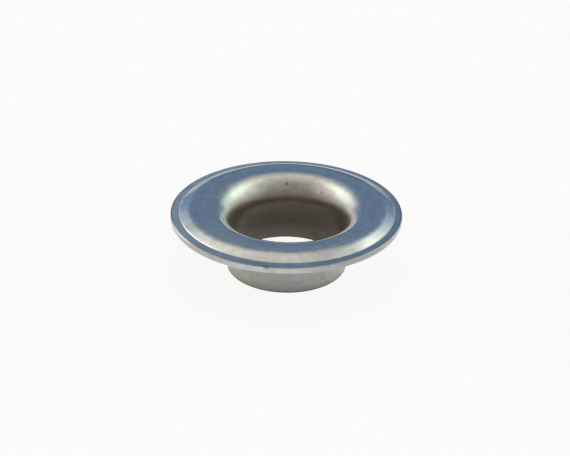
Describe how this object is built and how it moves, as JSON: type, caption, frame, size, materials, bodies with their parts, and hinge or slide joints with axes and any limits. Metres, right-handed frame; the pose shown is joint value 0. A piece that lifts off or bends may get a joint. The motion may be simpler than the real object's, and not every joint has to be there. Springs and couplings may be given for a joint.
{
  "type": "grommet eyelet",
  "caption": "Round metal eyelet with a wide flange, a raised crown that rolls into the throat, and a short open barrel.",
  "frame": {"origin": "centre of the barrel's end, on the axis", "axes": "+Z along the axis, from the barrel's end up to the flange"},
  "size_m": [0.022, 0.022, 0.0062],
  "materials": {
    "plated_steel": "satin zinc plate"
  },
  "bodies": {
    "root": {"eyelet": "plated_steel"}
  },
  "joints": []
}
